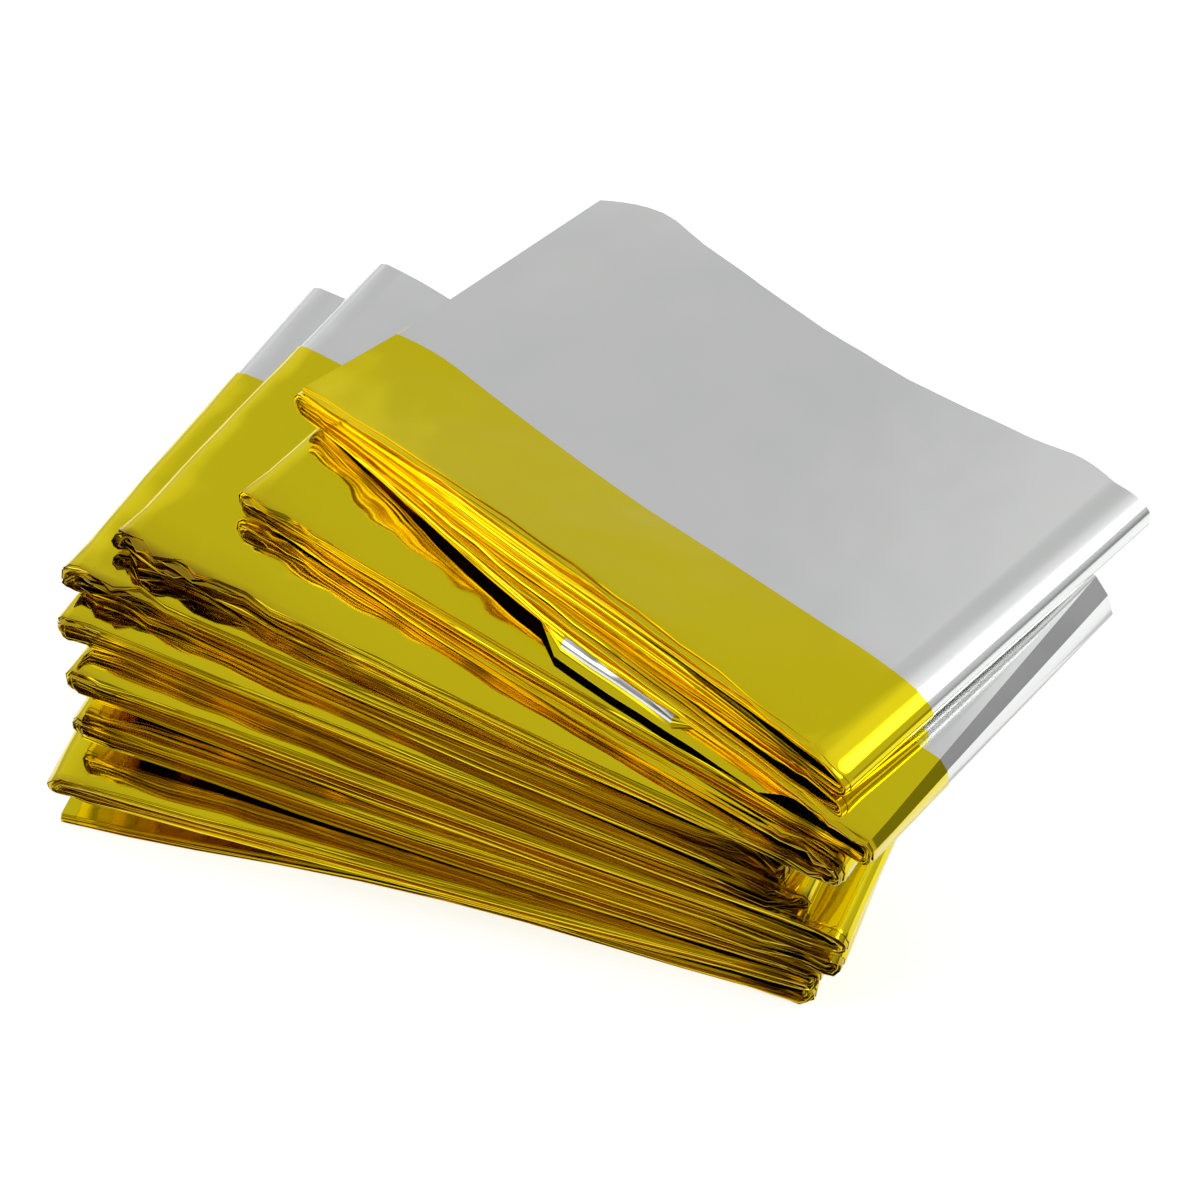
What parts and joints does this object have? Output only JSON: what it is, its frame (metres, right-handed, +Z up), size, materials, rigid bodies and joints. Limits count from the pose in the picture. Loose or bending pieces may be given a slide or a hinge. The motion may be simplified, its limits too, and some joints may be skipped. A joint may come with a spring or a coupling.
{
  "type": "emergency foil blanket",
  "caption": "Thin gold and silver film blanket, pleated into a narrow strip and folded back and forth into panels that lie fanned out like pages.",
  "frame": {"origin": "middle of the bounding box, at the surface that the blanket lies on", "axes": "+X along the lowest panel towards its folded right end, +Y towards the back edge of the strip, +Z up"},
  "size_m": [0.1484, 0.114, 0.0456],
  "materials": {
    "metallised_film": "shiny metallised polyester film, gold on one face and silver on the other"
  },
  "bodies": {
    "root": {"blanket": "metallised_film"}
  },
  "joints": []
}
